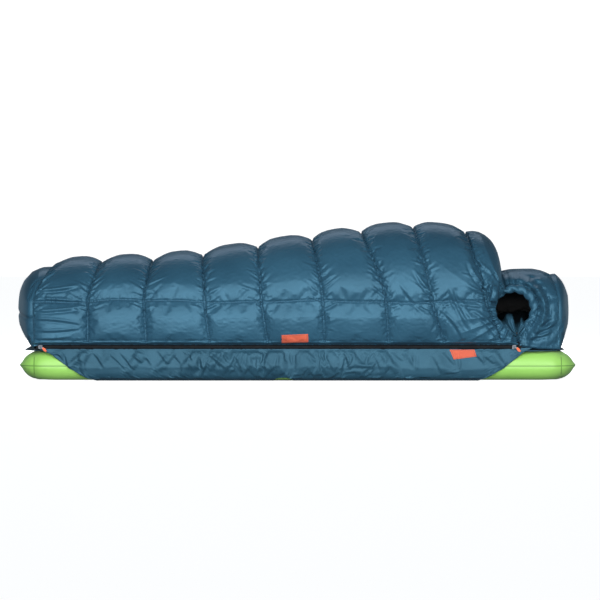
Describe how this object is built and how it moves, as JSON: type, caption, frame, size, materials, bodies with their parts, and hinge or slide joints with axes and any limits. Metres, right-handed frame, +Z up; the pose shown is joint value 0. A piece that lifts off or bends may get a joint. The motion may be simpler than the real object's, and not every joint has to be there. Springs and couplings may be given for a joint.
{
  "type": "sleeping bag with pad",
  "caption": "Down mummy sleeping bag with a side zipper, a gathered hood and a sleeve under it that holds an inflated sleeping pad.",
  "frame": {"origin": "bottom centre of the whole object, on the surface it lies on", "axes": "+X from the foot to the hood along the length, -Y towards the side with the zipper and the face opening, +Z up"},
  "size_m": [1.83, 0.5944, 0.5148],
  "materials": {
    "shell_nylon": "glossy ripstop nylon taffeta",
    "down": "down clusters",
    "lining_taffeta": "soft dark taffeta",
    "baffle_mesh": "fine mesh",
    "sleeve_nylon": "satin nylon",
    "zipper_tape": "woven tape",
    "zipper_coil": "nylon coil",
    "zipper_metal": "enamelled",
    "pull_grip": "moulded grip",
    "orange_label": "woven label",
    "drawcord": "braided elastic",
    "cord_lock_plastic": "moulded",
    "spring_steel": "drawn wire",
    "pad_fabric": "coated nylon, satin",
    "pad_inner": "film and batting",
    "valve_plastic": "moulded"
  },
  "bodies": {
    "bag": {"back_panel": "sleeve_nylon", "cross_baffles": "baffle_mesh", "down_chamber_1": "down", "down_chamber_2": "down", "down_chamber_3": "down", "down_chamber_4": "down", "down_chamber_5": "down", "down_chamber_6": "down", "down_chamber_7": "down", "down_chamber_8": "down", "draft_collar": "down", "draft_tube": "down", "face_rim": "shell_nylon", "far_edge_seam": "shell_nylon", "foot_end_down": "down", "foot_end_lining": "lining_taffeta", "foot_end_shell": "shell_nylon", "hood_down": "down", "hood_drawcord": "drawcord", "hood_end_down": "down", "hood_end_shell": "shell_nylon", "hood_lining": "lining_taffeta", "hood_shell": "shell_nylon", "lining": "lining_taffeta", "long_baffles": "baffle_mesh", "neck_down": "down", "neck_tab": "sleeve_nylon", "pad_sleeve": "sleeve_nylon", "shell_far_panel": "shell_nylon", "shell_near_panel": "shell_nylon", "shell_top_panel": "shell_nylon", "side_patch": "orange_label", "sleeve_flag": "orange_label", "zip_coil": "zipper_coil", "zip_stops": "zipper_coil", "zip_tape_lower": "zipper_tape", "zip_tape_upper": "zipper_tape"},
    "pad": {"pad_top_sheet": "pad_fabric", "pad_bottom_sheet": "pad_fabric", "pad_inner_strips": "pad_inner", "pad_insulation": "pad_inner", "pad_valve_body": "valve_plastic"},
    "valve_cap": {"pad_valve_cap": "valve_plastic"},
    "head_slider": {"zip_slider_head": "zipper_metal"},
    "head_pull": {"zip_pull_head": "zipper_metal", "zip_grip_head": "pull_grip"},
    "foot_slider": {"zip_slider_foot": "zipper_metal"},
    "foot_pull": {"zip_pull_foot": "zipper_metal", "zip_grip_foot": "pull_grip"},
    "cord_lock": {"cord_lock_barrel": "cord_lock_plastic", "cord_lock_spring": "spring_steel"},
    "cord_lock_button": {"cord_lock_plunger": "cord_lock_plastic"}
  },
  "joints": [
    {"name": "pad_slide", "type": "slide", "parent": "bag", "child": "pad", "axis": [1, 0, 0], "range_m": [0, 1.85]},
    {"name": "valve_cap_hinge", "type": "hinge", "parent": "pad", "child": "valve_cap", "pos_m": [0.8456, 0.2582, 0.0496], "axis": [0, 0, -1], "range_deg": [0, 160]},
    {"name": "head_slider_slide", "type": "slide", "parent": "bag", "child": "head_slider", "axis": [-1, 0, 0], "range_m": [0, 0.76]},
    {"name": "head_pull_flip", "type": "hinge", "parent": "head_slider", "child": "head_pull", "pos_m": [0.712, -0.25685, 0.112], "axis": [0, 0, -1], "range_deg": [0, 165]},
    {"name": "foot_slider_slide", "type": "slide", "parent": "bag", "child": "foot_slider", "axis": [1, 0, 0], "range_m": [0, 0.76]},
    {"name": "foot_pull_flip", "type": "hinge", "parent": "foot_slider", "child": "foot_pull", "pos_m": [-0.846, -0.25685, 0.112], "axis": [0, 0, -1], "range_deg": [0, 165]},
    {"name": "cord_lock_slide", "type": "slide", "parent": "bag", "child": "cord_lock", "axis": [0, 0, -1], "range_m": [0, 0.022]},
    {"name": "cord_lock_press", "type": "slide", "parent": "cord_lock", "child": "cord_lock_button", "axis": [-1, 0, 0], "range_m": [0, 0.0024], "stiffness_N_per_m": 300, "deforming": ["cord_lock_spring"]}
  ]
}
